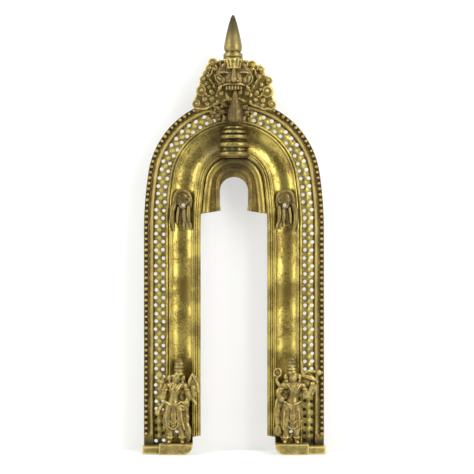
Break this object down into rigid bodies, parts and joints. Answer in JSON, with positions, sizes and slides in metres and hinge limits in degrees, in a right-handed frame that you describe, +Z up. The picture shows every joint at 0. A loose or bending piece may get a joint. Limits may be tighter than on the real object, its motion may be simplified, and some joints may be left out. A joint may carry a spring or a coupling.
{
  "type": "prabhavali",
  "caption": "Arched brass aureole with pierced border, beaded rail, hollow moulding, lion-mask crest, parasol and attendant figures, made to stand behind a household image.",
  "frame": {"origin": "middle of the object's box, on the floor under the feet", "axes": "+Z up, the face with the relief looks along -Y, +X to the viewer's right"},
  "size_m": [0.138, 0.0228, 0.33],
  "materials": {
    "rail_brass": "aged, brown tarnish",
    "bead_brass": "aged, rubbed bright on top",
    "strip_brass": "aged, olive tarnish",
    "moulding_brass": "old polish",
    "hood_brass": "old polish",
    "crest_brass": "aged, dark hollows",
    "finial_brass": "old polish",
    "parasol_brass": "aged, greenish",
    "figure_brass": "aged, rubbed bright on top",
    "foot_brass": "old polish",
    "rivet_brass": "aged"
  },
  "bodies": {
    "root": {"rail_left": "rail_brass", "rail_crown": "rail_brass", "rail_right": "rail_brass", "beaded_edge_left": "bead_brass", "beaded_edge_right": "bead_brass", "pierced_strip_left": "strip_brass", "pierced_strip_crown": "strip_brass", "pierced_strip_right": "strip_brass", "moulding_left": "moulding_brass", "moulding_crown": "moulding_brass", "moulding_right": "moulding_brass", "crown_hood": "hood_brass", "hood_roll": "hood_brass", "hood_rim": "hood_brass", "crest_plate": "crest_brass", "crest_curls_left": "crest_brass", "crest_curls_right": "crest_brass", "kirtimukha_mask": "crest_brass", "finial_collar": "finial_brass", "finial_spire": "finial_brass", "parasol": "parasol_brass", "bracket_left": "figure_brass", "bracket_right": "figure_brass", "attendant_left": "figure_brass", "attendant_right": "figure_brass", "plinth_left": "foot_brass", "plinth_right": "foot_brass", "foot_left": "foot_brass", "foot_right": "foot_brass", "foot_dowels": "rivet_brass", "crest_rivets": "rivet_brass", "mask_rivets": "rivet_brass", "parasol_rivet": "rivet_brass", "attendant_rivets": "rivet_brass"}
  },
  "joints": []
}
